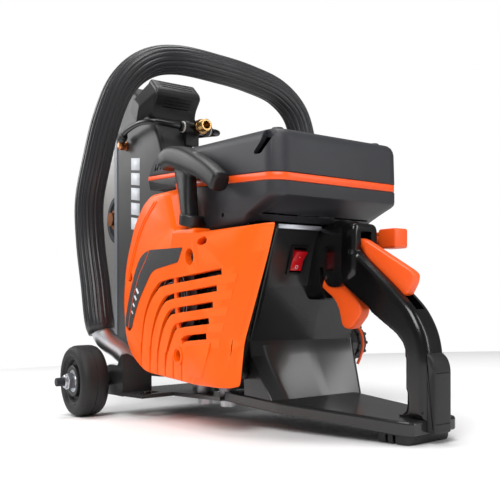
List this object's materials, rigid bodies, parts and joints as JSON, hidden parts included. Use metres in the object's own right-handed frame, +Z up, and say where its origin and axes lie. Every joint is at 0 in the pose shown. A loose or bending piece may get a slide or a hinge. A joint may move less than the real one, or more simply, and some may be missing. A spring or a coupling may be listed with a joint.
{
  "type": "rescue saw",
  "caption": "Petrol cut-off rescue saw: diamond disc under a swinging guard, belt arm, engine, pull starter, wrap-round front handle, trigger handle, water kit and wheel kit.",
  "frame": {"origin": "middle of the footprint, on the ground under the wheels and the rear foot", "axes": "+X forward to the disc, +Y to the left (starter side), +Z up"},
  "size_m": [0.7883, 0.3359, 0.4565],
  "materials": {
    "black_gloss": "moulded gloss black nylon",
    "black_matte": "fine-grained black plastic",
    "grey_matte": "fine-grained dark grey plastic",
    "orange_gloss": "semi-gloss orange nylon",
    "orange_control": "orange acetal",
    "red_gloss": "translucent red rocker",
    "rubber": "black moulded rubber",
    "tyre": "solid black rubber",
    "alloy": "bare aluminium",
    "cast_alloy": "as-cast alloy",
    "steel": "ground steel",
    "zinc": "bright zinc plate",
    "black_steel": "black powder coat",
    "disc_steel": "grey disc core",
    "disc_rim": "sintered diamond segments",
    "bronze_bolt": "yellow-passivated bolt",
    "brass": "turned brass",
    "ceramic": "white insulator",
    "paper": "pleated paper"
  },
  "bodies": {
    "frame": {"tank_housing": "black_gloss", "cap_tether": "orange_control", "rear_handle": "black_gloss", "handle_strip": "rubber", "rear_foot": "rubber", "control_pins": "steel", "switch_bezel": "black_matte", "filter_cover": "grey_matte", "cover_stripe": "orange_gloss", "filter_element": "paper", "carburettor": "cast_alloy", "cover_screws": "black_steel", "starter_cover": "orange_gloss", "starter_decal": "black_matte", "starter_screws": "black_steel", "recoil_spring": "steel", "crankcase": "cast_alloy", "cylinder": "cast_alloy", "spark_plug": "ceramic", "muffler": "black_steel", "front_handle_tube": "alloy", "front_handle_grip": "rubber", "handle_clamps": "black_matte", "cutting_arm": "cast_alloy", "belt_cover": "grey_matte", "drive_belt": "rubber", "spindle_bearings": "steel", "wheel_bracket": "black_steel", "bracket_bolts": "black_steel", "axle_bolts": "black_steel", "axle_nuts": "zinc"},
    "blade": {"spindle_shaft": "steel", "blade_pulley": "cast_alloy", "blade_flanges": "black_steel", "blade_bolt": "bronze_bolt", "blade_core": "disc_steel", "blade_rim": "disc_rim"},
    "clutch": {"clutch_pulley": "cast_alloy"},
    "crank": {"crankshaft": "steel", "flywheel": "cast_alloy"},
    "reel": {"rope_reel": "black_matte"},
    "pull": {"pull_handle": "grey_matte"},
    "trigger": {"throttle_trigger": "orange_control"},
    "lockout": {"throttle_lockout": "orange_control"},
    "choke": {"choke_knob": "orange_control"},
    "rocker": {"switch_rocker": "red_gloss"},
    "cap": {"fuel_cap": "black_matte"},
    "guard": {"guard_shell": "grey_matte", "guard_lever": "black_matte", "water_tee": "black_matte", "water_inlet": "brass", "water_hose_left": "rubber", "water_hose_right": "rubber", "spray_elbows": "bronze_bolt"},
    "wheel_left": {"wheel_left_hub": "black_matte", "wheel_left_tyre": "tyre", "wheel_left_bearing": "steel"},
    "wheel_right": {"wheel_right_hub": "black_matte", "wheel_right_tyre": "tyre", "wheel_right_bearing": "steel"}
  },
  "joints": [
    {"name": "blade_spin", "type": "hinge", "parent": "frame", "child": "blade", "pos_m": [0.21913, -0.00715, 0.26246], "axis": [0, 1, 0], "continuous": true},
    {"name": "clutch_spin", "type": "hinge", "parent": "frame", "child": "clutch", "pos_m": [-0.15236, -0.07815, 0.12321], "axis": [0, 1, 0], "continuous": true},
    {"name": "crank_spin", "type": "hinge", "parent": "frame", "child": "crank", "pos_m": [-0.15236, 0.01785, 0.12321], "axis": [0, 1, 0], "continuous": true},
    {"name": "reel_turn", "type": "hinge", "parent": "frame", "child": "reel", "pos_m": [-0.15236, 0.10585, 0.12321], "axis": [0, 1, 0], "range_deg": [0, 47.8]},
    {"name": "starter_pull", "type": "slide", "parent": "frame", "child": "pull", "axis": [-0.2899, 0, 0.9571], "range_m": [0, 0.03]},
    {"name": "trigger_squeeze", "type": "hinge", "parent": "frame", "child": "trigger", "pos_m": [-0.27742, 0.01785, 0.13484], "axis": [0, 1, 0], "range_deg": [0, 14], "stiffness_Nm_per_rad": 0.4},
    {"name": "lockout_press", "type": "hinge", "parent": "frame", "child": "lockout", "pos_m": [-0.31767, 0.01785, 0.15217], "axis": [0, -1, 0], "range_deg": [0, 8], "stiffness_Nm_per_rad": 0.4},
    {"name": "choke_pull", "type": "slide", "parent": "frame", "child": "choke", "axis": [-0.9977, 0, -0.0671], "range_m": [0, 0.015]},
    {"name": "switch_rock", "type": "hinge", "parent": "frame", "child": "rocker", "pos_m": [-0.24689, 0.04785, 0.15036], "axis": [0, 1, 0], "range_deg": [0, 14]},
    {"name": "cap_turn", "type": "hinge", "parent": "frame", "child": "cap", "pos_m": [-0.22124, -0.04815, 0.07447], "axis": [0, -1, 0], "range_deg": [0, 90]},
    {"name": "guard_swing", "type": "hinge", "parent": "frame", "child": "guard", "pos_m": [0.21913, -0.03215, 0.26246], "axis": [0, 1, 0], "range_deg": [-8, 40]},
    {"name": "wheel_left_roll", "type": "hinge", "parent": "frame", "child": "wheel_left", "pos_m": [0.02162, 0.13485, 0.04], "axis": [0, 1, 0], "continuous": true},
    {"name": "wheel_right_roll", "type": "hinge", "parent": "frame", "child": "wheel_right", "pos_m": [0.02162, -0.09915, 0.04], "axis": [0, 1, 0], "continuous": true}
  ],
  "couplings": [
    {"joint": "clutch_spin", "follows": "blade_spin", "ratio": 1.2},
    {"joint": "reel_turn", "follows": "starter_pull", "rad_per_m": 27.778}
  ]
}
